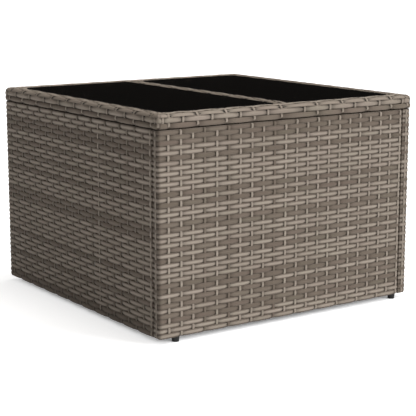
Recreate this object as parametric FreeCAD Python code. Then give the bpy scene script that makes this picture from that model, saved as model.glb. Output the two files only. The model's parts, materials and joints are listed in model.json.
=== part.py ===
import FreeCAD, Part
import os

# Square coffee table of woven strand on a steel tube frame, millimetres.
# Origin: centre of the base on the floor. +Z is up, -Y is the front, +X is to the right.

# ---- driving dimensions ------------------------------------------------------------------
TABLE_SIDE = 550.0          # over the rim, both ways
TABLE_HEIGHT = 380.0        # floor to rim crown
FOOT_HEIGHT = 10.0          # floor to the walls' lower edge
RIM_WIDTH = 30.0            # rim and centre bar, seen from above
RIM_HEIGHT = 24.0
RIM_OVERHANG = 2.0          # rim past the walls, each side
SHADOW_GAP = 3.0            # between the walls and the rim
WALL_TUBE = 15.0            # square tube of the wall panels
WALL_COVER = 2.5            # thickness of the weave on it
RIM_TUBE_WIDTH = 22.0
RIM_TUBE_HEIGHT = 16.0
TUBE_WALL = 1.0
RIM_ROUND = 8.0             # the rim's four corners, seen from above
RIM_CROWN_ROUND = 3.0       # its outer upper edge
WALL_ROUND = 2.0            # edge radius of a woven panel

GLASS_THICKNESS = 5.0
GLASS_GAP = 1.5             # between a pane and the weave round it
GLASS_BELOW_CROWN = 1.0
GLASS_CORNER = 8.0
GLASS_EDGE = 0.8            # ground edge, above and below
PAD_THICKNESS = 2.0
PAD_RADIUS = 6.0
PAD_PLAY = 0.1              # under the pane, so that it lifts freely
TAB_LENGTH = 20.0           # from the rim tube inwards
TAB_WIDTH = 18.0
TAB_THICKNESS = 3.0
TAB_PLACES = (-190.0, 0.0, 190.0)

FOOT_RADIUS = 7.0
FOOT_TOE_RADIUS = 6.0
FOOT_STEM_RADIUS = 3.5
FOOT_STEM_LENGTH = 14.0
FOOT_INSET_LEFT = 40.0      # from the rim's corner to the panel's left foot
FOOT_INSET_RIGHT = 29.0     # and to its right foot

BOLT_RADIUS = 3.0           # M6
BOLT_HOLE_RADIUS = 3.3
THREAD_PLAY = 0.05
BOLT_HEAD_RADIUS = 5.0
BOLT_HEAD_HEIGHT = 4.0
KEY_RADIUS = 2.0
KEY_DEPTH = 2.4
WASHER_RADIUS = 6.5
WASHER_THICKNESS = 1.2
INSERT_RADIUS = 4.5
INSERT_LENGTH = 11.0
CORNER_BOLT_HEIGHTS = (80.0, 280.0)
TOP_BOLT_PLACES = (-160.0, 140.0)
SPACER_RADIUS = 6.0

CUT_RUN = 1.0               # how far a cutter runs past the face that it enters
FACE_REACH = 1.0            # an edge nearer to a face than this belongs to it
PARALLEL = 0.99             # least cosine between two directions that count as one
PAD_EDGE = 1.0              # from a pad's rim to its tab's end

# ---- derived sizes -----------------------------------------------------------------------
RIM_HALF = TABLE_SIDE / 2
RIM_INNER = RIM_HALF - RIM_WIDTH
RIM_BASE = TABLE_HEIGHT - RIM_HEIGHT
RIM_COVER = (RIM_WIDTH - RIM_TUBE_WIDTH) / 2
RIM_TUBE_OUT = RIM_HALF - RIM_COVER
RIM_TUBE_IN = RIM_TUBE_OUT - RIM_TUBE_WIDTH
RIM_TUBE_BASE = RIM_BASE + (RIM_HEIGHT - RIM_TUBE_HEIGHT) / 2

WALL_HALF = RIM_HALF - RIM_OVERHANG
WALL_TOP = RIM_BASE - SHADOW_GAP
PANEL_THICKNESS = WALL_TUBE + 2 * WALL_COVER
PANEL_LEFT = -WALL_HALF
PANEL_RIGHT = WALL_HALF - PANEL_THICKNESS
PANEL_MIDDLE = -WALL_HALF + PANEL_THICKNESS / 2     # the tubes' centre plane, in y
FRAME_LEFT = PANEL_LEFT + WALL_COVER
FRAME_RIGHT = PANEL_RIGHT - WALL_COVER
FRAME_FRONT = -WALL_HALF + WALL_COVER
FRAME_BASE = FOOT_HEIGHT + WALL_COVER
FRAME_TOP = WALL_TOP - WALL_COVER
POST_BASE = FRAME_BASE + WALL_TUBE
POST_HEIGHT = FRAME_TOP - WALL_TUBE - POST_BASE

GLASS_TOP = TABLE_HEIGHT - GLASS_BELOW_CROWN
GLASS_BASE = GLASS_TOP - GLASS_THICKNESS
PAD_TOP = GLASS_BASE - PAD_PLAY
TAB_TOP = PAD_TOP - PAD_THICKNESS

SIDES = ("front", "right", "back", "left")          # each a quarter turn after the one before
FOOT_NAMES = {
    "front": ("front_left_foot", "front_right_foot"),
    "back": ("back_right_foot", "back_left_foot"),
}
UP = FreeCAD.Vector(0, 0, 1)
FORWARD = FreeCAD.Vector(0, 1, 0)
RIGHTWARD = FreeCAD.Vector(1, 0, 0)


def box(x, y, z):
    """A block from its (low, high) pairs."""
    corner = FreeCAD.Vector(x[0], y[0], z[0])
    return Part.makeBox(x[1] - x[0], y[1] - y[0], z[1] - z[0], corner)


def rod(radius, start, length, along=UP):
    return Part.makeCylinder(radius, length, FreeCAD.Vector(*start), along)


def quarter_turns(shape, count):
    """The shape turned by that many quarter turns about the table's upright axis."""
    turned = shape.copy()
    turned.rotate(FreeCAD.Vector(0, 0, 0), UP, 90.0 * count)
    return turned


def less(shape, cutters):
    """The shape with the cutters taken away."""
    for cutter in cutters:
        shape = shape.cut(cutter)
    return shape


def tube(x, y, z, along):
    """A hollow tube that fills the box, open at its two ends."""
    spans = [x, y, z]
    bore = [(low + TUBE_WALL, high - TUBE_WALL) for low, high in spans]
    bore[along] = spans[along]
    return box(x, y, z).cut(box(*bore))


def rounded(shape, radius, direction, places):
    """Round the edges that run in a direction and lie where places() says."""
    picked = []
    for edge in shape.Edges:
        middle = edge.CenterOfMass
        run = edge.tangentAt(edge.FirstParameter)
        if abs(run.dot(direction)) > PARALLEL and places(middle):
            picked.append(edge)
    return shape.makeFillet(radius, picked)


def screw(start, along, length):
    """A socket-head screw: start is under the head, along is the way its shank points."""
    direction = FreeCAD.Vector(*along)
    base = FreeCAD.Vector(*start)
    head = Part.makeCylinder(BOLT_HEAD_RADIUS, BOLT_HEAD_HEIGHT, base, direction * -1)
    shank = Part.makeCylinder(BOLT_RADIUS - THREAD_PLAY, length, base, direction)
    crown = base - direction * BOLT_HEAD_HEIGHT
    key = Part.makeCylinder(KEY_RADIUS, KEY_DEPTH, crown, direction)
    return head.fuse(shank).removeSplitter().cut(key)


def ring(outer, inner, start, length, along):
    direction = FreeCAD.Vector(*along)
    body = Part.makeCylinder(outer, length, FreeCAD.Vector(*start), direction)
    return body.cut(Part.makeCylinder(inner, length, FreeCAD.Vector(*start), direction))


# ---- the front panel, in place; the other three are quarter turns of it --------------------
CORNER_BOLT_X = PANEL_LEFT + PANEL_THICKNESS / 2
LEFT_POST = (FRAME_LEFT, FRAME_LEFT + WALL_TUBE)
RIGHT_POST = (FRAME_RIGHT - WALL_TUBE, FRAME_RIGHT)
STILE_CENTRE = (FRAME_LEFT + FRAME_RIGHT) / 2
STILE = (STILE_CENTRE - WALL_TUBE / 2, STILE_CENTRE + WALL_TUBE / 2)
FRAME_DEPTH = (FRAME_FRONT, FRAME_FRONT + WALL_TUBE)
PANEL_BACK = -WALL_HALF + PANEL_THICKNESS
HEAD_SEAT_X = RIGHT_POST[0] - WASHER_THICKNESS      # under the head of the panel's own bolts
CORNER_REACH = WALL_HALF - WALL_COVER - TUBE_WALL   # how far out the bolts get
TOP_BOLT_SEAT = FRAME_TOP - WALL_TUBE - WASHER_THICKNESS
TOP_BOLT_END = RIM_TUBE_BASE + TUBE_WALL + INSERT_LENGTH


def foot_places():
    return (-RIM_HALF + FOOT_INSET_LEFT, RIM_HALF - FOOT_INSET_RIGHT)


def foot(x):
    base = FreeCAD.Vector(x, PANEL_MIDDLE, 0)
    toe = Part.makeCone(FOOT_TOE_RADIUS, FOOT_RADIUS, FOOT_HEIGHT, base, UP)
    stem = rod(FOOT_STEM_RADIUS, (x, PANEL_MIDDLE, FOOT_HEIGHT), FOOT_STEM_LENGTH)
    return toe.fuse(stem).removeSplitter()


def foot_holes():
    """Where the stems of the glides pass through the weave and the bottom rail."""
    holes = []
    for x in foot_places():
        start = (x, PANEL_MIDDLE, FOOT_HEIGHT - CUT_RUN)
        holes.append(rod(FOOT_STEM_RADIUS, start, FOOT_STEM_LENGTH + CUT_RUN))
    return holes


def top_bolt_holes(radius):
    """Upright holes for the top frame's bolts, from the panel's top rail to the rim tube."""
    length = TOP_BOLT_END - TOP_BOLT_SEAT
    return [rod(radius, (x, PANEL_MIDDLE, TOP_BOLT_SEAT), length) for x in TOP_BOLT_PLACES]


def end_bolt_holes():
    """Holes along x for the bolts that fix the panel's right end to the next panel."""
    start = RIGHT_POST[0] - CUT_RUN
    reach = CORNER_REACH - start
    places = [(start, PANEL_MIDDLE, z) for z in CORNER_BOLT_HEIGHTS]
    return [rod(BOLT_HOLE_RADIUS, place, reach, RIGHTWARD) for place in places]


def insert_holes():
    """Holes in the panel's left post, from behind, for the inserts that the next bolts reach."""
    length = FRAME_DEPTH[1] - FRAME_DEPTH[0] - TUBE_WALL + WALL_COVER
    places = [(CORNER_BOLT_X, FRAME_DEPTH[0] + TUBE_WALL, z) for z in CORNER_BOLT_HEIGHTS]
    return [rod(INSERT_RADIUS, place, length, FORWARD) for place in places]


def panel_tubes():
    """The five tubes of a panel, by name."""
    whole = (FRAME_LEFT, FRAME_RIGHT)
    upright = (POST_BASE, POST_BASE + POST_HEIGHT)
    bottom = tube(whole, FRAME_DEPTH, (FRAME_BASE, POST_BASE), 0)
    top = tube(whole, FRAME_DEPTH, (FRAME_TOP - WALL_TUBE, FRAME_TOP), 0)
    top = less(top, top_bolt_holes(BOLT_HOLE_RADIUS))
    left = less(tube(LEFT_POST, FRAME_DEPTH, upright, 2), insert_holes())
    right = less(tube(RIGHT_POST, FRAME_DEPTH, upright, 2), end_bolt_holes())
    stile = tube(STILE, FRAME_DEPTH, upright, 2)
    return {"bottom_rail": bottom, "top_rail": top, "corner_post": left, "end_post": right,
            "middle_stile": stile}


def panel_weave():
    """The outer woven face, and the four L-shaped wraps over the frame's edges, as solids."""
    whole = (PANEL_LEFT, PANEL_RIGHT)
    depth = (FRAME_DEPTH[0], PANEL_BACK)
    face = box(whole, (-WALL_HALF, FRAME_DEPTH[0]), (FOOT_HEIGHT, WALL_TOP))
    face = rounded(face, WALL_ROUND, UP, lambda at: at.x < 0 and at.y < FRAME_DEPTH[0] - FACE_REACH)
    blocks = [
        box(whole, depth, (FOOT_HEIGHT, POST_BASE)),
        box(whole, depth, (FRAME_TOP - WALL_TUBE, WALL_TOP)),
        box((PANEL_LEFT, LEFT_POST[1]), depth, (POST_BASE, POST_BASE + POST_HEIGHT)),
        box((RIGHT_POST[0], PANEL_RIGHT), depth, (POST_BASE, POST_BASE + POST_HEIGHT)),
    ]
    frame = box((FRAME_LEFT, FRAME_RIGHT), FRAME_DEPTH, (FRAME_BASE, FRAME_TOP))
    holes = end_bolt_holes() + insert_holes() + top_bolt_holes(BOLT_HOLE_RADIUS)
    return face, [less(block, [frame] + holes) for block in blocks]


def corner_fasteners():
    """The bolts, washers and inserts that join the panel's right end to the next panel."""
    along = (1, 0, 0)
    insert_start = PANEL_RIGHT
    parts = {"corner_bolts": [], "corner_washers": [], "corner_inserts": []}
    bolt_length = insert_start + INSERT_LENGTH - HEAD_SEAT_X
    for z in CORNER_BOLT_HEIGHTS:
        seat = (HEAD_SEAT_X, PANEL_MIDDLE, z)
        parts["corner_bolts"].append(screw(seat, along, bolt_length))
        washer = ring(WASHER_RADIUS, BOLT_HOLE_RADIUS, seat, WASHER_THICKNESS, along)
        parts["corner_washers"].append(washer)
        insert = ring(INSERT_RADIUS, BOLT_RADIUS, (insert_start, PANEL_MIDDLE, z), INSERT_LENGTH, along)
        parts["corner_inserts"].append(insert)
    return parts


def top_fasteners():
    """The upright bolts that hold the top frame on the panel, and what goes with them."""
    along = (0, 0, 1)
    parts = {"top_bolts": [], "top_washers": [], "top_inserts": [], "top_spacers": []}
    for x in TOP_BOLT_PLACES:
        seat = (x, PANEL_MIDDLE, TOP_BOLT_SEAT)
        parts["top_bolts"].append(screw(seat, along, TOP_BOLT_END - TOP_BOLT_SEAT))
        parts["top_washers"].append(ring(WASHER_RADIUS, BOLT_HOLE_RADIUS, seat, WASHER_THICKNESS, along))
        insert_start = (x, PANEL_MIDDLE, RIM_TUBE_BASE)
        insert_length = TOP_BOLT_END - RIM_TUBE_BASE
        parts["top_inserts"].append(ring(INSERT_RADIUS, BOLT_RADIUS, insert_start, insert_length, along))
        spacer_start = (x, PANEL_MIDDLE, WALL_TOP)
        spacer = ring(SPACER_RADIUS, BOLT_HOLE_RADIUS, spacer_start, SHADOW_GAP, along)
        parts["top_spacers"].append(spacer)
    return parts


# ---- top frame ---------------------------------------------------------------------------
RIM_TUBE_LEVELS = (RIM_TUBE_BASE, RIM_TUBE_BASE + RIM_TUBE_HEIGHT)
RIM_LEVELS = (RIM_BASE, TABLE_HEIGHT)
BAR_HALF = RIM_WIDTH / 2
BAR_TUBE_HALF = RIM_TUBE_WIDTH / 2
# the tube faces that the panes' tabs stand on, each with the way into its opening
TAB_ROOTS = ((-RIM_TUBE_IN, 1), (-BAR_TUBE_HALF, -1), (BAR_TUBE_HALF, 1), (RIM_TUBE_IN, -1))


def rim_tubes():
    """Front and back tubes run the full width; the side tubes and the bar butt between them."""
    across = (-RIM_TUBE_OUT, RIM_TUBE_OUT)
    between = (-RIM_TUBE_IN, RIM_TUBE_IN)
    edge = (-RIM_TUBE_OUT, -RIM_TUBE_IN)
    far_edge = (RIM_TUBE_IN, RIM_TUBE_OUT)
    tubes = {
        "front_rim_tube": tube(across, edge, RIM_TUBE_LEVELS, 0),
        "back_rim_tube": tube(across, far_edge, RIM_TUBE_LEVELS, 0),
        "left_rim_tube": tube(edge, between, RIM_TUBE_LEVELS, 1),
        "right_rim_tube": tube(far_edge, between, RIM_TUBE_LEVELS, 1),
        "centre_bar_tube": tube((-BAR_TUBE_HALF, BAR_TUBE_HALF), between, RIM_TUBE_LEVELS, 1),
    }
    for count, side in enumerate(SIDES):
        name = side + "_rim_tube"
        holes = [quarter_turns(hole, count) for hole in top_bolt_holes(INSERT_RADIUS)]
        tubes[name] = less(tubes[name], holes)
    return tubes


def rim_wraps():
    """The woven covers: solid bars of the rim's outline, less the steel inside them."""
    long_way = (-RIM_HALF, RIM_HALF)
    between = (-RIM_INNER, RIM_INNER)
    edge = (-RIM_HALF, -RIM_INNER)
    outside = -RIM_INNER - FACE_REACH
    high = RIM_LEVELS[1] - FACE_REACH
    front = box(long_way, edge, RIM_LEVELS)
    front = rounded(front, RIM_ROUND, UP, lambda at: at.y < outside)
    front = rounded(front, RIM_CROWN_ROUND, RIGHTWARD, lambda at: at.y < outside and at.z > high)
    left = box(edge, between, RIM_LEVELS)
    left = rounded(left, RIM_CROWN_ROUND, FORWARD, lambda at: at.x < outside and at.z > high)
    bar = box((-BAR_HALF, BAR_HALF), between, RIM_LEVELS)
    return {"front_rim_wrap": front, "back_rim_wrap": quarter_turns(front, 2), "left_rim_wrap": left,
            "right_rim_wrap": quarter_turns(left, 2), "centre_bar_wrap": bar}


def pane_tabs():
    """Tabs welded to the inner side of the tubes round each opening."""
    tabs = []
    levels = (TAB_TOP - TAB_THICKNESS, TAB_TOP)
    for y in TAB_PLACES:
        span = (y - TAB_WIDTH / 2, y + TAB_WIDTH / 2)
        for tube_face, inwards in TAB_ROOTS:
            ends = sorted((tube_face, tube_face + inwards * TAB_LENGTH))
            tabs.append(box(tuple(ends), span, levels))
    return tabs


def pane_pads():
    pads = []
    inset = TAB_LENGTH - PAD_RADIUS - PAD_EDGE
    for y in TAB_PLACES:
        for tube_face, inwards in TAB_ROOTS:
            pads.append(rod(PAD_RADIUS, (tube_face + inwards * inset, y, TAB_TOP), PAD_THICKNESS))
    return pads


def pane():
    """The left-hand pane."""
    x = (-RIM_INNER + GLASS_GAP, -BAR_HALF - GLASS_GAP)
    y = (-RIM_INNER + GLASS_GAP, RIM_INNER - GLASS_GAP)
    plate = rounded(box(x, y, (GLASS_BASE, GLASS_TOP)), GLASS_CORNER, UP, lambda at: True)
    rims = [edge for edge in plate.Edges if edge.BoundBox.ZLength < GLASS_EDGE / 2]
    return plate.makeChamfer(GLASS_EDGE, rims)


def tube_core(shape):
    """The whole block that a tube fills."""
    bounds = shape.BoundBox
    return box((bounds.XMin, bounds.XMax), (bounds.YMin, bounds.YMax), (bounds.ZMin, bounds.ZMax))


def build():
    """Every node, as a list of separate solids by name."""
    nodes = {}
    face, wraps = panel_weave()
    plain = {name: [shape] for name, shape in panel_tubes().items()}
    plain.update(weave=[face], edge_wraps=wraps)
    footed = dict(plain)
    for name in ("bottom_rail", "edge_wraps"):
        footed[name] = [less(shape, foot_holes()) for shape in plain[name]]
    fasteners = {**corner_fasteners(), **top_fasteners()}
    for count, side in enumerate(SIDES):
        panel = plain
        if side in FOOT_NAMES:
            panel = footed
            for foot_name, x in zip(FOOT_NAMES[side], foot_places()):
                nodes[foot_name] = [quarter_turns(foot(x), count)]
        for name, shapes in panel.items():
            nodes[side + "_" + name] = [quarter_turns(shape, count) for shape in shapes]
        for name, shapes in fasteners.items():
            nodes.setdefault(name, []).extend(quarter_turns(shape, count) for shape in shapes)

    steel = rim_tubes()
    tabs = pane_tabs()
    cores = [tube_core(shape) for shape in steel.values()]
    bolt_holes = [quarter_turns(hole, count) for count in range(len(SIDES))
                  for hole in top_bolt_holes(BOLT_HOLE_RADIUS)]
    for name, shape in rim_wraps().items():
        nodes[name] = [less(shape, cores + tabs + bolt_holes)]
    for name, shape in steel.items():
        nodes[name] = [shape]
    nodes["pane_tabs"] = tabs
    nodes["pane_pads"] = pane_pads()
    nodes["left_pane"] = [pane()]
    nodes["right_pane"] = [quarter_turns(pane(), 2)]
    return nodes


os.makedirs("parts", exist_ok=True)
for node, solids in build().items():
    made = solids[0] if len(solids) == 1 else Part.makeCompound(solids)
    if not made.isValid():
        print("invalid shape:", node)
    print(node, len(made.Solids), round(made.Volume, 1))
    made.exportStep("parts/" + node + ".step")
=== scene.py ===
import json
import math
import random
from collections import namedtuple

import bpy
import numpy as np
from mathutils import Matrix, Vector


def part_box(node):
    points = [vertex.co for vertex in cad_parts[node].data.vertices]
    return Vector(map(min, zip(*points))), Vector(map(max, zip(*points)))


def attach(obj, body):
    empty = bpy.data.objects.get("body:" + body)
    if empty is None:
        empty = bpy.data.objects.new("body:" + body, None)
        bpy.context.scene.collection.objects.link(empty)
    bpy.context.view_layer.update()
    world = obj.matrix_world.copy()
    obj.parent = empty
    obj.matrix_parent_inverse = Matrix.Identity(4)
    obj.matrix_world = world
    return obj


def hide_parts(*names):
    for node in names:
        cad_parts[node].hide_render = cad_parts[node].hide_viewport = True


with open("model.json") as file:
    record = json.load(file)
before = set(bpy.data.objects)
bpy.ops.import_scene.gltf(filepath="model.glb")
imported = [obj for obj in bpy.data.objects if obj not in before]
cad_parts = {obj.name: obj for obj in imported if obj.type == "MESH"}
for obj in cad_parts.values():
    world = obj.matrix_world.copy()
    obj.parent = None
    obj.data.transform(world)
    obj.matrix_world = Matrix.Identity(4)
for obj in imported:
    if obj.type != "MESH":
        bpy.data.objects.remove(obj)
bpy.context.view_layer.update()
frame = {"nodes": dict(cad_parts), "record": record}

MM = 0.001
SEED = 7

# ---- places and sizes, from the frame ------------------------------------------------------
RIM_LOW, RIM_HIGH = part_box("front_rim_wrap")
RIM_HALF = RIM_HIGH.x
RIM_BASE = RIM_LOW.z
RIM_WIDTH = RIM_HIGH.y - RIM_LOW.y
RIM_INNER = RIM_HALF - RIM_WIDTH
FACE_LOW, FACE_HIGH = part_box("front_weave")
WALL_HALF = -FACE_LOW.y
PANEL_LEFT = FACE_LOW.x
PANEL_RIGHT = FACE_HIGH.x
PANEL_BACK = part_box("front_edge_wraps")[1].y
WALL_BASE = FACE_LOW.z
WALL_TOP = FACE_HIGH.z
POST_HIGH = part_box("front_corner_post")[1]
END_POST_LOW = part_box("front_end_post")[0]
RAIL_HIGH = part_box("front_bottom_rail")[1]
TOP_RAIL_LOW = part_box("front_top_rail")[0]
SIDES = ("front", "right", "back", "left")      # each a quarter turn after the one before

# ---- the wall weave ------------------------------------------------------------------------
ROWS = 41
TOP_PROUD = 0.6 * MM           # the weave stands this far above the panel's top plane
STRAND_WIDTH = 9.5 * MM
STRAND_THICK = 0.8 * MM
STAKES = 22
STAKE_WIDTH = 5.2 * MM
STAKE_THICK = 0.9 * MM
FIRST_STAKE = 20 * MM           # from the panel's left end
LAST_STAKE = 5 * MM             # from its right end
WEAVE_DEPTH = 1.2 * MM          # middle of the weave below the panel's outer planes
STRAND_SWING = 1.05 * MM
STAKE_SWING = 0.45 * MM
STAKE_LIFT = 0.3 * MM           # so that a stake shows between the strands over it
DIP_POWER = 4.4                 # how sharply a strand dives under a stake
TURN_RADIUS = 2.6 * MM
SEEN_RADIUS = 4.2 * MM          # at the panel's exposed corner
CLOSE_RADIUS = 1.5 * MM         # where two panels meet
END_SWING_SHARE = 0.45          # strands lie flatter on the panel's narrow end and beside the other end
END_FADE = 20 * MM
TUCK = 2 * MM                   # a strand's end, short of its tube's edge
# light and dark strands of each wall, top row first
FRONT_ROWS = "DDDLLDLLLLLLDLDLLLDDLLLDLDLLLLDDLDDLDDLLL"
LEFT_ROWS = "LLLDDDLLDLLDLLDLLLLDDDLLLLLLLDLLLLDLLLLDD"
ROW_TONES = {"front": FRONT_ROWS, "left": LEFT_ROWS, "back": LEFT_ROWS[::-1], "right": FRONT_ROWS[::-1]}
# stakes that aren't light
DARK_STAKES = {
    "front": (3, 5, 9),
    "left": (12, 13, 15, 16, 17),
    "back": (2, 8, 15),
    "right": (4, 11, 12, 18),
}
MIDDLE_STAKES = {"front": (), "left": (*range(12), 18, 19, 20), "back": (), "right": ()}
DARK_STAKE_DROP, MIDDLE_STAKE_DROP = 0.9, 0.6
# how uneven the hand weave is
ROW_OFFSET = 0.1 * MM           # a whole row, up or down
ROW_WANDER = 0.14 * MM          # within a row
WANDER_POINTS = 8
ROW_LEAN = 0.03                 # a row's tilt, as a slope
STAKE_OFFSET = 0.5 * MM         # a stake, left or right
ROW_TONE_SPREAD = 0.12
STAKE_TONE_SPREAD = 0.1
STRETCH_TONES = (-0.16, 0.12)   # added to a row's tone, anew for each stretch between two stakes

# ---- the rim weave -------------------------------------------------------------------------
RIM_STRAND_WIDTH = 9.2 * MM
RIM_STRAND_THICK = 0.9 * MM
RIM_SAG = 0.85                  # mm
BINDER_WIDTH = 5.0 * MM
BINDER_THICK = 0.8 * MM
BINDER_PITCH = 28.5 * MM
SIDE_BINDERS = 17               # along the left and right rims, between the corners' binders
HALF_BINDERS = 8                # along the front and back rims, on each side of the bar
BAR_GAP_HALF = 25 * MM          # from the bar's centre line to the first binder beside it
CORNER_BINDERS = ((22, 5), (10, 2.5))           # mm from each corner, at the outer and the inner edge
RIM_SWING = 1.15 * MM
CORNER_ROUND = 8 * MM           # the rim's outer corners, seen from above
LEAST_BEND = 4 * MM             # the tightest turn of a strand at a corner
MITRED_ABOVE = 0.8              # a strand whose normal is this upright is mitred at the corners instead
BINDER_SWING = 0.6 * MM
RIM_DIP_POWER = 3.4
# strand centres round the rim's section: (mm in from the outer edge, mm above the rim's base, degrees from
# level to the strand's normal, where 180 faces out)
RIM_PLACES = [
    (2.2, 3.9, 180), (2.6, 13.2, 174), (5.0, 20.2, 128), (12.0, 22.3, 92), (20.0, 22.3, 86),
    (26.4, 19.3, 38), (27.7, 10.9, 0), (25.6, 3.2, -45), (18.0, 1.4, -90), (9.4, 1.4, -90),
]
LOW_OUTER = 0                   # by place in RIM_PLACES
TOP_STRANDS = (3, 4, 5)
TOP_HIGHLIGHT_TONES = (0.05, 0.2)         # added to the light tone: a painted highlight on the strands on top, where light from above falls
OTHER_TONES = (-0.25, 0.0)
BINDER_TONES = (-0.15, 0.1)
LOW_OUTER_DROP = 0.75           # how much darker the low outer strand is
DARK_RIM_DROP = 0.95            # and on the left rim and the front rim's left end
DARK_RIM_END = -148 * MM        # along the front
SHARP_TURN = 30                 # degrees between two strands of the section
SHARP_TURN_BULGE = 1.6          # mm that a binder stands out between them
BAR_END = 1.5 * MM              # of the bar's strands, under the rim's
BAR_END_CLEAR = 8 * MM          # from the rim to the bar's last binder, at least

# ---- both weaves ---------------------------------------------------------------------------
LIGHT, DARK = 1.0, 0.0          # tones
# half of a strand's face, from edge to crown: (share of its half width, how many sags it has fallen)
FACE_PROFILE = ((0.98, 1.55), (0.74, 1.25), (0.52, 0.66), (0.3, 0.16), (0.0, 0.0))
BACK_PROFILE = ((0.8, 0.8), (0.4, 0.0))         # the same for its back
WALL_SAG = 0.7                  # mm
NARROW_SAG = 0.25               # mm, of stakes and binders
# how much of the darker edge a strand shows: painted shade in the creases between strands, partly the
# resin's own darker edge
EDGE_OF_NARROW = 0.55
EDGE_OF_RIM = 0.6
LOOSE_FADE = 10 * MM            # in which a strand settles past its last crossing
LEAST_STEP = 0.4 * MM           # between two rings of a strand
CLOSING_STEP = 0.5 * MM         # from a closed strand's last ring to its first, at least
# rings between an under and an over crossing, as shares of the way
SHARES = (0.0, 0.09, 0.17, 0.25, 0.34, 0.46, 0.7, 1.0)


def turned(points, quarter):
    """Points turned by a number of quarter turns about the upright axis."""
    turned_points = np.array(points, float)
    for _ in range(quarter):
        x = turned_points[:, 0].copy()
        turned_points[:, 0] = -turned_points[:, 1]
        turned_points[:, 1] = x
    return turned_points


# one piece of a path; a straight one has no way out and no radius
Run = namedtuple("Run", "begin length start into out radius")


class Path:
    """An open path of straight runs joined by arcs, in a plane of two coordinates."""

    def __init__(self, corners, radii):
        self.runs = []
        self.length = 0.0
        self.arc_stations = []
        corners = [Vector(corner) for corner in corners]
        start = corners[0]
        for before, corner, after, radius in zip(corners, corners[1:], corners[2:], radii):
            into = (corner - before).normalized()
            out = (after - corner).normalized()
            self._line(start, corner - into * radius)
            self._arc(corner - into * radius, into, out, radius)
            start = corner + out * radius
        self._line(start, corners[-1])

    def _line(self, start, end):
        length = (end - start).length
        self.runs.append(Run(self.length, length, start, (end - start) / length, None, 0.0))
        self.length += length

    def _arc(self, start, into, out, radius):
        length = radius * math.pi / 2
        self.runs.append(Run(self.length, length, start, into, out, radius))
        self.arc_stations += [self.length + length * part / 4 for part in range(5)]
        self.length += length

    def at(self, station):
        """The place and the way ahead at a distance along the path."""
        for begin, length, start, into, out, radius in self.runs:
            if station <= begin + length + 1e-9:
                break
        ahead = station - begin
        if out is None:
            return start + into * ahead, into
        angle = ahead / radius
        place = start + (into * math.sin(angle) + out * (1 - math.cos(angle))) * radius
        return place, into * math.cos(angle) + out * math.sin(angle)

    def station_of(self, run, distance):
        """The station a distance into one of the runs."""
        return self.runs[run].begin + distance


def section(width, thick, sag):
    """A strand's cross-section, (across, outward): a raised middle that rolls down to thin low edges."""
    half, flat = width / 2, thick / 2
    face = [(half * part, flat - sag * MM * fall) for part, fall in FACE_PROFILE]
    back = [(-half * part, -flat - sag * MM * fall) for part, fall in BACK_PROFILE]
    return back + [(-across, outward) for across, outward in reversed(back)] + face + [
        (-across, outward) for across, outward in reversed(face[:-1])]


class Strands:
    """Many strands gathered into one mesh, with their tone and their own coordinates."""

    def __init__(self):
        self.points = []
        self.faces = []
        self.tone = []
        self.along = []
        self.across = []
        self.raised = []
        self.count = 0

    def add(self, centres, normals, sides, outline, tones, raised, edge=1.0, closed=False):
        """One strand: its outline set across the way at each centre."""
        centres, normals, sides = (np.array(rows, float) for rows in (centres, normals, sides))
        rings, corners = len(centres), len(outline)
        across = np.array([point[0] for point in outline])
        outward = np.array([point[1] for point in outline])
        points = (centres[:, None, :] + sides[:, None, :] * across[None, :, None]
                  + normals[:, None, :] * outward[None, :, None])
        self.points.append(points.reshape(-1, 3))
        steps = np.linalg.norm(np.diff(centres, axis=0), axis=1)
        lengths = np.concatenate([[0.0], np.cumsum(steps)])
        self.along.append(np.repeat(lengths + random.uniform(0, 40), corners))
        self.across.append(np.tile(across / across.max() * edge, rings))
        self.tone.append(np.repeat(np.broadcast_to(tones, rings), corners))
        self.raised.append(np.repeat(np.broadcast_to(raised, rings), corners))
        ring = np.arange(rings if closed else rings - 1)[:, None]
        corner = np.arange(corners)[None, :]
        after_ring = (ring + 1) % rings
        after_corner = (corner + 1) % corners
        quads = np.stack([ring * corners + corner, ring * corners + after_corner,
                          after_ring * corners + after_corner, after_ring * corners + corner], -1)
        self.faces += (quads.reshape(-1, 4)[:, ::-1] + self.count).tolist()
        if not closed:
            last = self.count + (rings - 1) * corners
            self.faces.append(list(range(self.count, self.count + corners)))
            self.faces.append(list(range(last, last + corners))[::-1])
        self.count += rings * corners

    def piece(self, name, material, quarter=0):
        """The mesh object, turned to its side of the table."""
        mesh = bpy.data.meshes.new(name)
        points = turned(np.concatenate(self.points), quarter)
        mesh.from_pydata(points.tolist(), [], self.faces)
        for label, values in (("tone", self.tone), ("along", self.along), ("across", self.across),
                              ("raised", self.raised)):
            layer = mesh.attributes.new(label, "FLOAT", "POINT")
            layer.data.foreach_set("value", np.concatenate(values).astype(np.float32))
        mesh.polygons.foreach_set("use_smooth", [True] * len(mesh.polygons))
        mesh.update()
        mesh.materials.append(material)
        piece = bpy.data.objects.new(name, mesh)
        bpy.context.scene.collection.objects.link(piece)
        return piece


def dive(station, crossings, swing, power):
    """How far a strand stands out at a station. Crossings are (station, +1 over or -1 under)."""
    before = [crossing for crossing in crossings if crossing[0] <= station]
    after = [crossing for crossing in crossings if crossing[0] > station]
    if before and after:
        start, end = before[-1], after[0]
        part = (station - start[0]) / (end[0] - start[0])
        if start[1] == end[1]:
            return swing * start[1]
        under = part if start[1] < 0 else 1 - part
        return swing * (1 - 2 * math.cos(math.pi * under / 2) ** (2 * power))
    nearest = before[-1] if before else after[0]
    fade = max(0.0, 1 - abs(station - nearest[0]) / LOOSE_FADE)
    return swing * nearest[1] * fade


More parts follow.
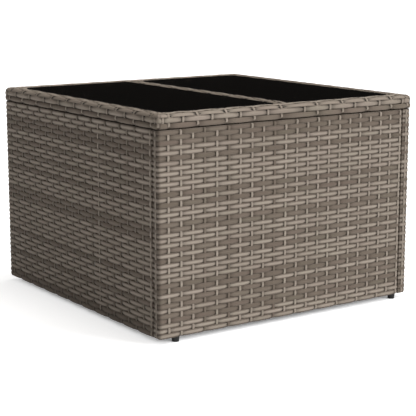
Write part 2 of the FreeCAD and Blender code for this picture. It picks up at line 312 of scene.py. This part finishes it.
def stations_for(crossings, shares, extra, low, high):
    """Ring stations: at shares of each span from its under end, and at the extra ones."""
    stations = {low, high}
    for start, end in zip(crossings, crossings[1:]):
        for share in shares:
            part = share if start[1] < 0 else 1 - share
            stations.add(start[0] + (end[0] - start[0]) * part)
    stations.update(extra)
    kept = []
    for station in sorted(stations):
        if low <= station <= high and (not kept or station - kept[-1] > LEAST_STEP):
            kept.append(station)
    return kept


# ---- walls ---------------------------------------------------------------------------------
ROW_PITCH = (WALL_TOP + TOP_PROUD - WALL_BASE) / ROWS
ROW_HEIGHTS = [WALL_TOP + TOP_PROUD - (row + 0.5) * ROW_PITCH for row in range(ROWS)]
STAKE_PITCH = (PANEL_RIGHT - PANEL_LEFT - FIRST_STAKE - LAST_STAKE) / (STAKES - 1)
STAKE_PLACES = [PANEL_LEFT + FIRST_STAKE + stake * STAKE_PITCH for stake in range(STAKES)]
OUTER_Y = -WALL_HALF + WEAVE_DEPTH
INNER_Y = PANEL_BACK - WEAVE_DEPTH
TOP_Z = WALL_TOP + TOP_PROUD - WEAVE_DEPTH
LEFT_X = PANEL_LEFT + WEAVE_DEPTH
RIGHT_X = PANEL_RIGHT - WEAVE_DEPTH
END_STAKE_Y = (FACE_LOW.y + PANEL_BACK) / 2


def drift_at(wander, share):
    """A smooth drift through random values, at a share of the way."""
    step = share * (len(wander) - 1)
    low = int(step)
    high = min(low + 1, len(wander) - 1)
    return wander[low] + (wander[high] - wander[low]) * (step - low)


def over(row, stake):
    """+1 where the row's strand passes over the stake, -1 where it goes under."""
    return -1 if (row + stake) % 2 else 1


def row_strand(strands, row, tone):
    """One strand across the panel's face and round both of its ends."""
    path = Path([(END_POST_LOW.x + TUCK, INNER_Y), (RIGHT_X, INNER_Y), (RIGHT_X, OUTER_Y), (LEFT_X, OUTER_Y),
                 (LEFT_X, INNER_Y), (POST_HIGH.x - TUCK, INNER_Y)],
                (TURN_RADIUS, CLOSE_RADIUS, SEEN_RADIUS, CLOSE_RADIUS))
    face_run, corner_arc, end_run = 4, 5, 6
    face_start = path.runs[face_run].start.x
    crossings = [(path.station_of(face_run, face_start - STAKE_PLACES[stake]), over(row, stake))
                 for stake in reversed(range(STAKES))]
    end_start = path.runs[end_run].start.y
    crossings.append((path.station_of(end_run, END_STAKE_Y - end_start), over(row, -1)))
    stations = stations_for(crossings, SHARES, path.arc_stations, 0.0, path.length)
    level = ROW_HEIGHTS[row] + random.uniform(-ROW_OFFSET, ROW_OFFSET)
    wander = [random.uniform(-ROW_WANDER, ROW_WANDER) for _ in range(WANDER_POINTS)]
    lean = random.uniform(-ROW_LEAN, ROW_LEAN)
    stretch_tones = [tone + random.uniform(*STRETCH_TONES) for _ in range(STAKES + 2)]
    centres, normals, sides, raised, tones = [], [], [], [], []
    for station in stations:
        passed = sum(1 for crossing in crossings if crossing[1] < 0 and crossing[0] < station)
        tones.append(stretch_tones[passed])
        place, ahead = path.at(station)
        outward = Vector((-ahead.y, ahead.x, 0.0))
        turn_share = (station - path.runs[corner_arc].begin) / path.runs[corner_arc].length
        edge_share = 1 - (station - path.runs[face_run].begin) / END_FADE
        swing = STRAND_SWING * (1 - (1 - END_SWING_SHARE) * min(1.0, max(0.0, turn_share, edge_share)))
        reach = dive(station, crossings, swing, DIP_POWER)
        raised.append(reach / STRAND_SWING)
        drift = drift_at(wander, station / path.length)
        centres.append(Vector((place.x, place.y, level + drift)) + outward * reach)
        normals.append((outward + Vector((0, 0, lean))).normalized())
        sides.append(Vector((0, 0, 1)) - outward * lean)
    strands.add(centres, normals, sides, section(STRAND_WIDTH, STRAND_THICK, WALL_SAG), tones, raised)


def stake_strip(strands, path, place_at, crossings, tone):
    """One upright strip along a path in the plane that stands across the wall."""
    stations = stations_for(crossings, (0.0, 0.5, 1.0), path.arc_stations, 0.0, path.length)
    centres, normals, sides, raised = [], [], [], []
    for station in stations:
        place, ahead = path.at(station)
        reach = dive(station, crossings, STAKE_SWING, 1.0)
        raised.append(reach / STAKE_SWING)
        centre, outward, side = place_at(place, ahead, reach + STAKE_LIFT)
        centres.append(centre)
        normals.append(outward)
        sides.append(side)
    outline = section(STAKE_WIDTH, STAKE_THICK, NARROW_SAG)
    strands.add(centres, normals, sides, outline, tone, raised, EDGE_OF_NARROW)


def row_crossings(path, run, top, stake):
    """Where the strip meets the rows on one of its runs, which starts at a height."""
    return [(path.station_of(run, top - height), -over(row, stake))
            for row, height in enumerate(ROW_HEIGHTS)]


def wall_stakes(strands, side):
    """The upright strips on the panel's face, over its top and under its base."""
    path = Path([(INNER_Y, TOP_RAIL_LOW.z + TUCK), (INNER_Y, TOP_Z),
                 (OUTER_Y, TOP_Z), (OUTER_Y, WALL_BASE + WEAVE_DEPTH),
                 (INNER_Y, WALL_BASE + WEAVE_DEPTH), (INNER_Y, RAIL_HIGH.z - TUCK)], [TURN_RADIUS] * 4)
    face_run = 4
    top = path.runs[face_run].start.y
    for stake, x in enumerate(STAKE_PLACES):
        crossings = row_crossings(path, face_run, top, stake)
        shift = x + random.uniform(-STAKE_OFFSET, STAKE_OFFSET)

        def place_at(place, ahead, reach, shift=shift):
            outward = Vector((0.0, ahead.y, -ahead.x))
            return Vector((shift, place.x, place.y)) + outward * reach, outward, Vector((-1, 0, 0))

        tone = LIGHT + random.uniform(-STAKE_TONE_SPREAD, STAKE_TONE_SPREAD)
        if stake in MIDDLE_STAKES[side]:
            tone -= MIDDLE_STAKE_DROP
        if stake in DARK_STAKES[side]:
            tone -= DARK_STAKE_DROP
        stake_strip(strands, path, place_at, crossings, tone)


def end_stake(strands):
    """The one strip on the panel's visible end."""
    path = Path([(POST_HIGH.x - TUCK, TOP_Z), (LEFT_X, TOP_Z),
                 (LEFT_X, WALL_BASE + WEAVE_DEPTH), (POST_HIGH.x - TUCK, WALL_BASE + WEAVE_DEPTH)],
                [TURN_RADIUS] * 2)
    face_run = 2
    crossings = row_crossings(path, face_run, path.runs[face_run].start.y, -1)

    def place_at(place, ahead, reach):
        outward = Vector((ahead.y, 0.0, -ahead.x))
        return Vector((place.x, END_STAKE_Y, place.y)) + outward * reach, outward, Vector((0, 1, 0))

    stake_strip(strands, path, place_at, crossings, LIGHT)


def weave_walls(material):
    for quarter, side in enumerate(SIDES):
        rows = Strands()
        for row, mark in enumerate(ROW_TONES[side]):
            tone = (LIGHT if mark == "L" else DARK) + random.uniform(-ROW_TONE_SPREAD, ROW_TONE_SPREAD)
            row_strand(rows, row, tone)
        piece = rows.piece(side + "_wall_strands", material, quarter)
        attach(piece, "table")
        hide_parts(side + "_weave", side + "_edge_wraps")
        stakes = Strands()
        wall_stakes(stakes, side)
        end_stake(stakes)
        piece = stakes.piece(side + "_wall_stakes", material, quarter)
        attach(piece, "table")


# ---- rim and bar ---------------------------------------------------------------------------
def unit(degrees):
    """The level and the upward part of a direction in the section."""
    return math.cos(math.radians(degrees)), math.sin(math.radians(degrees))


def side_binders(with_bar):
    """Binder places along one side, as (at the outer edge, at the inner edge), left to right."""
    if with_bar:
        places = [BAR_GAP_HALF + step * BINDER_PITCH for step in range(HALF_BINDERS)]
        places = [-place for place in reversed(places)] + places
    else:
        places = [(step - SIDE_BINDERS // 2) * BINDER_PITCH for step in range(SIDE_BINDERS)]
    slanted = [(place, place) for place in places]
    for from_outer, from_inner in CORNER_BINDERS:
        outer, inner = RIM_HALF - from_outer * MM, RIM_INNER - from_inner * MM
        slanted = [(-outer, -inner)] + slanted + [(outer, inner)]
    return slanted


def rim_crossings():
    """Every binder round the rim, as (side number, outer place, inner place), corners included."""
    binders = []
    for quarter, side in enumerate(SIDES):
        binders += [(quarter, outer, inner) for outer, inner in side_binders(side in ("front", "back"))]
        binders.append((quarter, RIM_HALF, RIM_INNER))
    return binders


RIM_SECTION = section(RIM_STRAND_WIDTH, RIM_STRAND_THICK, RIM_SAG)
BINDER_SECTION = section(BINDER_WIDTH, BINDER_THICK, NARROW_SAG)


def corner_bend(inset, up):
    """The radius of a rim strand's turn at the corners."""
    return max(LEAST_BEND, CORNER_ROUND - inset) if abs(up) < MITRED_ABOVE else 0.0


def round_corner(x, half, bend):
    """Where a strand runs at x on the front rim, and how far it has turned there."""
    past = bend - (half - abs(x))
    if bend == 0.0 or past <= 0:
        return Vector((x, -half)), 0.0
    turn = (past / bend) * math.pi / 4
    sign = 1 if x > 0 else -1
    middle = Vector((sign * (half - bend), -half + bend))
    return middle + Vector((sign * math.sin(turn), -math.cos(turn))) * bend, sign * turn


def rim_loop(strands, index, binders, tone):
    """One strand all the way round the rim."""
    inset, rise, tilt = RIM_PLACES[index]
    half = RIM_HALF - inset * MM
    share = inset * MM / RIM_WIDTH
    crossings = []
    for number, (quarter, outer, inner) in enumerate(binders):
        along = min(outer + (inner - outer) * share, half)
        crossings.append((quarter * 2 * half + along + half, -1 if (number + index) % 2 else 1))
    total = 8 * half
    first = crossings[0]
    crossings = [(crossings[-1][0] - total, crossings[-1][1])] + crossings + [(first[0] + total, first[1])]
    level_normal, up_normal = unit(tilt)
    bend = corner_bend(inset * MM, up_normal)
    extra = []
    for quarter in range(4):
        corner = quarter * 2 * half
        marks = (-1, -0.5, 0, 0.5, 1) if bend else (0,)
        extra += [(corner + mark * bend) % total for mark in marks]
    stations = stations_for(crossings, SHARES, extra, 0.0, total - CLOSING_STEP)
    centres, normals, sides, raised, tones = [], [], [], [], []
    for station in stations:
        quarter = int(station // (2 * half)) % 4
        x = station - quarter * 2 * half - half
        place, angle = round_corner(x, half, bend)
        out = Vector((math.sin(angle), -math.cos(angle), 0.0))
        normal = out * -level_normal + Vector((0, 0, up_normal))
        side = out * up_normal + Vector((0, 0, level_normal))
        if bend == 0.0 and abs(abs(x) - half) < 1e-6:
            mitre = math.copysign(side.length, x) * math.copysign(1, up_normal)
            side = side + Vector((mitre, 0, 0))
        reach = dive(station, crossings, RIM_SWING, RIM_DIP_POWER)
        raised.append(reach / RIM_SWING)
        centre = Vector((place.x, place.y, RIM_BASE + rise * MM)) + normal * reach
        dark_stretch = quarter == 0 and x < DARK_RIM_END or quarter == 3
        drop = DARK_RIM_DROP if dark_stretch else LOW_OUTER_DROP
        tones.append(tone - (drop if index == LOW_OUTER else 0.0))
        centre, normal, side = turned([centre, normal, side], quarter)
        centres.append(centre)
        normals.append(normal)
        sides.append(side)
    strands.add(centres, normals, sides, RIM_SECTION, tones, raised, EDGE_OF_RIM, closed=True)


def binder_section():
    """The binder's way round the section: (strand or None, inset, rise, normal) on and between strands."""
    steps = []
    for index, (inset, rise, tilt) in enumerate(RIM_PLACES):
        next_inset, next_rise, next_tilt = RIM_PLACES[(index + 1) % len(RIM_PLACES)]
        steps.append((index, inset, rise, unit(tilt)))
        turn = (tilt - next_tilt) % 360
        middle = unit(tilt - turn / 2)
        bulge = SHARP_TURN_BULGE if turn > SHARP_TURN else 0.0
        steps.append((None, (inset + next_inset) / 2 + middle[0] * bulge,
                      (rise + next_rise) / 2 + middle[1] * bulge, middle))
    return steps


def binder_ring(strands, parity, place_at, tone):
    """One binder round the section. place_at gives the frame for an inset and a rise."""
    centres, normals, sides, raised = [], [], [], []
    for index, inset, rise, (level, up) in binder_section():
        sign = 0 if index is None else (1 if (parity + index) % 2 else -1)
        reach = sign * BINDER_SWING
        centre, normal, side = place_at(inset * MM + level * reach, rise * MM + up * reach, level, up)
        centres.append(centre)
        normals.append(normal)
        sides.append(side)
        raised.append([float(sign)])
    dense = [smooth_closed(rows, 3) for rows in (centres, normals, sides)]
    raised = smooth_closed(raised, 3)[:, 0]
    strands.add(*dense, BINDER_SECTION, tone, raised, EDGE_OF_NARROW, closed=True)


def smooth_closed(rows, parts):
    """Points of a closed Catmull-Rom curve through the rows."""
    rows = np.array(rows, float)
    before, after, beyond = np.roll(rows, 1, 0), np.roll(rows, -1, 0), np.roll(rows, -2, 0)
    made = []
    for part in range(parts):
        t = part / parts
        square = 2 * before - 5 * rows + 4 * after - beyond
        cube = 3 * rows - before - 3 * after + beyond
        made.append(0.5 * (2 * rows + (after - before) * t + square * t ** 2 + cube * t ** 3))
    return np.stack(made, 1).reshape(-1, rows.shape[1])


def rim_binder(strands, number, quarter, outer, inner, tone):
    """One binder on the rim, across a side or on a corner's diagonal."""
    corner = outer == RIM_HALF
    slant = (inner - outer) / RIM_WIDTH

    def place_at(inset, rise, level, up):
        if corner:
            inset += corner_bend(inset, up) * (1 - math.sqrt(0.5))
            centre = Vector((RIM_HALF - inset, -RIM_HALF + inset, RIM_BASE + rise))
            out = Vector((1, -1, 0)) / math.sqrt(2)
            side = Vector((1, 1, 0)) / math.sqrt(2)
        else:
            centre = Vector((outer + slant * inset, -RIM_HALF + inset, RIM_BASE + rise))
            out = Vector((0, -1, 0))
            side = Vector((1, 0, 0))
        normal = out * -level + Vector((0, 0, up))
        return turned([centre, normal, side], quarter)

    binder_ring(strands, number, place_at, tone)


def finish_weave(strands, name, material, nodes):
    """Make the piece and hide the CAD nodes it stands for."""
    piece = strands.piece(name, material)
    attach(piece, "table")
    if nodes:
        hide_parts(*nodes)


def rim_tone(index):
    """The strands on top are the palest: a painted highlight where light from above falls."""
    return LIGHT + random.uniform(*(TOP_HIGHLIGHT_TONES if index in TOP_STRANDS else OTHER_TONES))


def weave_rim(material):
    binders = rim_crossings()
    strands = Strands()
    for index in range(len(RIM_PLACES)):
        rim_loop(strands, index, binders, rim_tone(index))
    finish_weave(strands, "rim_strands", material, [side + "_rim_wrap" for side in SIDES])
    wraps = Strands()
    for number, (quarter, outer, inner) in enumerate(binders):
        rim_binder(wraps, number, quarter, outer, inner, LIGHT + random.uniform(*BINDER_TONES))
    finish_weave(wraps, "rim_binders", material, ())


def bar_binder_places():
    count = int((RIM_INNER - BAR_END_CLEAR) / BINDER_PITCH)
    return [step * BINDER_PITCH for step in range(-count, count + 1)]


def weave_bar(material):
    places = bar_binder_places()
    reach_to = RIM_INNER + BAR_END
    strands = Strands()
    for index, (inset, rise, tilt) in enumerate(RIM_PLACES):
        crossings = [(place + reach_to, -1 if (number + index) % 2 else 1)
                     for number, place in enumerate(places)]
        level, up = unit(tilt)
        stations = stations_for(crossings, SHARES, (), 0.0, 2 * reach_to)
        rows = []
        for station in stations:
            normal = Vector((level, 0, up))
            centre = Vector((-RIM_WIDTH / 2 + inset * MM, station - reach_to, RIM_BASE + rise * MM))
            reach = dive(station, crossings, RIM_SWING, RIM_DIP_POWER)
            rows.append((centre + normal * reach, normal, Vector((-up, 0, level)), reach / RIM_SWING))
        centres, normals, sides, raised = zip(*rows)
        strands.add(centres, normals, sides, RIM_SECTION, rim_tone(index), raised, EDGE_OF_RIM)
    finish_weave(strands, "bar_strands", material, ("centre_bar_wrap",))
    wraps = Strands()
    for number, place in enumerate(places):

        def place_at(inset, rise, level, up, place=place):
            return (Vector((-RIM_WIDTH / 2 + inset, place, RIM_BASE + rise)), Vector((level, 0, up)),
                    Vector((0, -1, 0)))

        binder_ring(wraps, number, place_at, LIGHT + random.uniform(*BINDER_TONES))
    finish_weave(wraps, "bar_binders", material, ())


# ---- materials -----------------------------------------------------------------------------
def new_material(name, color, roughness, **inputs):
    """A material with its node tree and shader. An input's name has underscores for spaces."""
    material = bpy.data.materials.new(name)
    material.use_nodes = True
    shader = material.node_tree.nodes["Principled BSDF"]
    shader.inputs["Base Color"].default_value = (*color, 1.0)
    shader.inputs["Roughness"].default_value = roughness
    for label, value in inputs.items():
        shader.inputs[label.replace("_", " ")].default_value = value
    return material, material.node_tree, shader


def add(tree, kind, **settings):
    """A node with its inputs or its own settings filled in."""
    node = tree.nodes.new(kind)
    for label, value in settings.items():
        if label in node.inputs:
            node.inputs[label].default_value = value
        else:
            setattr(node, label, value)
    return node


def math_node(tree, operation, first, second=None):
    node = tree.nodes.new("ShaderNodeMath")
    node.operation = operation
    for socket, value in zip(node.inputs, (first, second)):
        if value is None:
            continue
        if isinstance(value, (int, float)):
            socket.default_value = value
        else:
            tree.links.new(value, socket)
    return node.outputs[0]


def attribute(tree, name):
    return add(tree, "ShaderNodeAttribute", attribute_name=name).outputs["Fac"]


def centred(tree, value, gain):
    """A value about a half, moved to about nought and scaled."""
    return math_node(tree, "MULTIPLY", math_node(tree, "SUBTRACT", value, 0.5), gain)


def strand_noise(tree, coordinates, detail, **settings):
    """Noise stretched over a strand's own coordinates, as (value, scale) pairs."""
    vector = tree.nodes.new("ShaderNodeCombineXYZ")
    for socket, (value, scale) in zip(vector.inputs, coordinates):
        tree.links.new(math_node(tree, "MULTIPLY", value, scale), socket)
    noise = add(tree, "ShaderNodeTexNoise", Scale=1.0, Detail=detail, **settings)
    tree.links.new(vector.outputs[0], noise.inputs["Vector"])
    return noise.outputs["Fac"]


def object_noise(tree, **settings):
    """Noise over the object's own coordinates."""
    place = tree.nodes.new("ShaderNodeTexCoord")
    noise = add(tree, "ShaderNodeTexNoise", **settings)
    tree.links.new(place.outputs["Object"], noise.inputs["Vector"])
    return noise.outputs["Fac"]


def mix_colors(tree, share, first, second):
    """A share of the second colour in the first. The second is a socket or a colour."""
    node = tree.nodes.new("ShaderNodeMix")
    node.data_type = "RGBA"
    tree.links.new(share, node.inputs["Factor"])
    tree.links.new(first, node.inputs["A"])
    if isinstance(second, tuple):
        node.inputs["B"].default_value = (*second, 1.0)
    else:
        tree.links.new(second, node.inputs["B"])
    return node.outputs["Result"]


def ramp(tree, value, stops):
    """A colour ramp over (position, colour) stops."""
    node = tree.nodes.new("ShaderNodeValToRGB")
    tree.links.new(value, node.inputs[0])
    elements = node.color_ramp.elements
    while len(elements) < len(stops):
        elements.new(0.5)
    for element, (position, color) in zip(elements, stops):
        element.position = position
        element.color = (*color, 1.0)
    return node.outputs["Color"]


# painted shade: the colour of the creases between strands, partly the resin's own darker edge
CREASE_SHADE_COLOR = (0.143, 0.116, 0.093)
EDGE_BAND = (0.26, 0.7)         # where the painted crease shade darkens a strand towards its edge, as shares of its half width
WARM_RAMP = ((0.0, (0.157, 0.121, 0.097)), (0.5, (0.225, 0.181, 0.147)), (1.0, (0.344, 0.289, 0.242)))
OLIVE_RAMP = ((0.0, (0.143, 0.119, 0.090)), (0.5, (0.212, 0.182, 0.142)), (1.0, (0.332, 0.288, 0.235)))
BLACK_COAT = (0.018, 0.018, 0.018)
GLASS_TINT = (0.16, 0.155, 0.15)


def resin_color(tree, along, across, tone, raised):
    """Two tones and two hues with streaks, with painted shade towards a strand's edges, partly the resin's
    darker edge, and painted shade in the hollows.
    """
    streak = strand_noise(tree, ((along, 18.0), (across, 3.0)), 3.0, Roughness=0.6)
    patch = object_noise(tree, Scale=7.0, Detail=1.0)
    mixed = math_node(tree, "ADD", tone, centred(tree, streak, 0.6))
    mixed = math_node(tree, "ADD", mixed, centred(tree, patch, 0.4))
    level = math_node(tree, "ADD", math_node(tree, "MULTIPLY", mixed, 0.8), 0.1)
    hue = strand_noise(tree, ((along, 9.0),), 1.0)
    olive_share = math_node(tree, "ADD", centred(tree, hue, 3.5), 0.35)
    color = mix_colors(tree, olive_share, ramp(tree, level, WARM_RAMP), ramp(tree, level, OLIVE_RAMP))
    # painted shade in the creases at a strand's edges, partly the resin's own darker edge
    edge = tree.nodes.new("ShaderNodeMapRange")
    edge.interpolation_type = "SMOOTHSTEP"
    edge.inputs["From Min"].default_value, edge.inputs["From Max"].default_value = EDGE_BAND
    tree.links.new(math_node(tree, "ABSOLUTE", across), edge.inputs["Value"])
    color = mix_colors(tree, edge.outputs["Result"], color, CREASE_SHADE_COLOR)
    # painted shade: a strand is darker where it dives under the strands it crosses, as in the shade of the
    # hollow
    hollow_shade = math_node(tree, "ADD", math_node(tree, "MULTIPLY", raised, 0.17), 0.89)
    hollow_shaded = tree.nodes.new("ShaderNodeVectorMath")
    hollow_shaded.operation = "SCALE"
    tree.links.new(color, hollow_shaded.inputs[0])
    tree.links.new(hollow_shade, hollow_shaded.inputs["Scale"])
    return hollow_shaded.outputs[0]


def woven_resin():
    """Flat resin strand, with fine grooves along its length."""
    material, tree, shader = new_material("woven_resin", (0.3, 0.26, 0.22), 0.6, Specular_IOR_Level=0.22)
    along, across, tone, raised = (attribute(tree, name) for name in ("along", "across", "tone", "raised"))
    tree.links.new(resin_color(tree, along, across, tone, raised), shader.inputs["Base Color"])
    grooves = math_node(tree, "SINE", math_node(tree, "MULTIPLY", across, 22.0))
    grain = strand_noise(tree, ((along, 160.0), (across, 9.0)), 2.0)
    height = math_node(tree, "ADD", math_node(tree, "MULTIPLY", grooves, 0.5), grain)
    bump = add(tree, "ShaderNodeBump", Strength=0.25, Distance=0.0002)
    tree.links.new(height, bump.inputs["Height"])
    tree.links.new(bump.outputs["Normal"], shader.inputs["Normal"])
    rough = math_node(tree, "ADD", math_node(tree, "MULTIPLY", grain, 0.2), 0.52)
    tree.links.new(rough, shader.inputs["Roughness"])
    return material


def speckled(name, color, roughness, scale, depth, spread=0.25, **inputs):
    """A coated, moulded or plated surface: a little mottling, grain and uneven gloss."""
    material, tree, shader = new_material(name, color, roughness, **inputs)
    noise = object_noise(tree, Scale=scale, Detail=4.0, Roughness=0.6)
    dim = tuple(channel * (1 - spread) for channel in color)
    lit = tuple(min(1.0, channel * (1 + spread)) for channel in color)
    tree.links.new(ramp(tree, noise, ((0.3, dim), (0.7, lit))), shader.inputs["Base Color"])
    rough = math_node(tree, "ADD", math_node(tree, "MULTIPLY", noise, 0.24), roughness - 0.12)
    tree.links.new(rough, shader.inputs["Roughness"])
    bump = add(tree, "ShaderNodeBump", Strength=0.4, Distance=depth)
    tree.links.new(noise, bump.inputs["Height"])
    tree.links.new(bump.outputs["Normal"], shader.inputs["Normal"])
    return material


def smoked_glass():
    """Dark clear glass with faint wipe marks in its gloss."""
    material, tree, shader = new_material("smoked_glass", GLASS_TINT, 0.03, Transmission_Weight=1.0)
    wipes = object_noise(tree, Scale=9.0, Detail=3.0)
    rough = math_node(tree, "ADD", math_node(tree, "MULTIPLY", wipes, 0.05), 0.01)
    tree.links.new(rough, shader.inputs["Roughness"])
    return material


def finish_cad_nodes():
    """Give each CAD node that stays in view its finish."""
    finishes = {
        "black_steel": speckled("powder_coat", BLACK_COAT, 0.42, 900.0, 0.0001, Specular_IOR_Level=0.25),
        "zinc_steel": speckled("zinc_plate", (0.55, 0.55, 0.54), 0.36, 500.0, 0.00005, Metallic=1.0),
        "foot_plastic": speckled("foot_plastic", (0.012, 0.012, 0.012), 0.5, 700.0, 0.0001),
        "spacer_plastic": speckled("spacer_plastic", (0.012, 0.012, 0.012), 0.55, 700.0, 0.0001),
        "pad_rubber": speckled("pad_rubber", (0.02, 0.02, 0.02), 0.75, 1200.0, 0.0001),
        "dark_glass": smoked_glass(),
    }
    for row in frame["record"]["subparts"]:
        material = finishes.get(row["material_slot"])
        if material is None:
            continue
        node = frame["nodes"][row["node"]]
        node.data.materials.clear()
        node.data.materials.append(material)


# ---- stage ---------------------------------------------------------------------------------
SEEN_GLOW = 0.68                # how white the floor looks
CAST_GLOW = 0.19                # how much of that it throws back on the table
OPEN_REACH = 0.6                # the floor glows only where this much room above it is open
OPEN_BAND = (0.04, 0.25)
FLOOR_HALF = 40.0
LOW_SKY = (0.34, (0.009, 0.0082, 0.0075))
HIGH_SKY = (0.8, (0.26, 0.26, 0.26))


def build_floor():
    """A pale floor that looks white. It doesn't glow under the table, where little sky is open to it."""
    material, tree, shader = new_material("pale_floor", (0.86, 0.86, 0.86), 0.8)
    ray = tree.nodes.new("ShaderNodeLightPath").outputs["Is Camera Ray"]
    glow = math_node(tree, "ADD", math_node(tree, "MULTIPLY", ray, SEEN_GLOW - CAST_GLOW), CAST_GLOW)
    open_sky = add(tree, "ShaderNodeAmbientOcclusion", samples=8, Distance=OPEN_REACH)
    fade = tree.nodes.new("ShaderNodeMapRange")
    fade.inputs["From Min"].default_value, fade.inputs["From Max"].default_value = OPEN_BAND
    tree.links.new(open_sky.outputs["AO"], fade.inputs["Value"])
    faded = math_node(tree, "MULTIPLY", glow, fade.outputs["Result"])
    tree.links.new(faded, shader.inputs["Emission Strength"])
    shader.inputs["Emission Color"].default_value = (1.0, 1.0, 1.0, 1.0)
    noise = add(tree, "ShaderNodeTexNoise", Scale=3.0, Detail=2.0)
    pale = ramp(tree, noise.outputs["Fac"], ((0.0, (0.85, 0.85, 0.85)), (1.0, (0.87, 0.87, 0.87))))
    tree.links.new(pale, shader.inputs["Base Color"])
    mesh = bpy.data.meshes.new("floor")
    corners = [(x * FLOOR_HALF, y * FLOOR_HALF, 0) for x, y in ((-1, -1), (1, -1), (1, 1), (-1, 1))]
    mesh.from_pydata(corners, [], [(0, 1, 2, 3)])
    mesh.materials.append(material)
    floor = bpy.data.objects.new("floor", mesh)
    bpy.context.scene.collection.objects.link(floor)


def build_sky():
    """White to the camera. The light that it gives comes from above and is dim near the horizon."""
    world = bpy.data.worlds.new("studio")
    bpy.context.scene.world = world
    world.use_nodes = True
    nodes, links = world.node_tree.nodes, world.node_tree.links
    seen = nodes["Background"]
    seen.inputs["Color"].default_value = (1.0, 1.0, 1.0, 1.0)
    room = nodes.new("ShaderNodeBackground")
    direction = nodes.new("ShaderNodeTexCoord")
    split = nodes.new("ShaderNodeSeparateXYZ")
    links.new(direction.outputs["Generated"], split.inputs[0])
    links.new(ramp(world.node_tree, split.outputs["Z"], (LOW_SKY, HIGH_SKY)), room.inputs["Color"])
    path = nodes.new("ShaderNodeLightPath")
    mix = nodes.new("ShaderNodeMixShader")
    links.new(path.outputs["Is Camera Ray"], mix.inputs["Fac"])
    links.new(room.outputs[0], mix.inputs[1])
    links.new(seen.outputs[0], mix.inputs[2])
    links.new(mix.outputs[0], nodes["World Output"].inputs["Surface"])


def lamp(name, power, place, spread, color):
    """A soft far light that shines from a place towards the origin and shows in no reflection."""
    data = bpy.data.lights.new(name, "SUN")
    data.energy = power
    data.angle = math.radians(spread)
    data.color = color
    light = bpy.data.objects.new(name, data)
    light.location = place
    light.visible_glossy = False
    light.visible_transmission = False
    light.rotation_euler = (-Vector(place)).to_track_quat("-Z", "Y").to_euler()
    bpy.context.scene.collection.objects.link(light)


def light_stage():
    lamp("overhead", 1.6, (0.75, -0.35, 3.0), 40, (1.0, 0.975, 0.94))
    lamp("key", 2.3, (1.1, -1.5, 0.68), 24, (0.985, 1.0, 1.02))


CAMERA_PLACE = (-1.348, -1.960, 0.617)
CAMERA_DOWN, CAMERA_RIGHT = 10.96, 34.78        # degrees from looking level along +Y
CAMERA_LENS = 110.3             # mm, on a sensor 36 mm wide


def place_camera():
    data = bpy.data.cameras.new("camera")
    data.sensor_width = 36.0
    data.lens = CAMERA_LENS
    camera = bpy.data.objects.new("camera", data)
    camera.location = CAMERA_PLACE
    camera.rotation_euler = (math.radians(90 - CAMERA_DOWN), 0.0, math.radians(-CAMERA_RIGHT))
    bpy.context.scene.collection.objects.link(camera)
    bpy.context.scene.camera = camera
    bpy.context.scene.view_settings.view_transform = "Standard"


random.seed(SEED)
place_camera()
build_floor()
build_sky()
light_stage()
RESIN = woven_resin()
weave_walls(RESIN)
weave_rim(RESIN)
weave_bar(RESIN)
finish_cad_nodes()
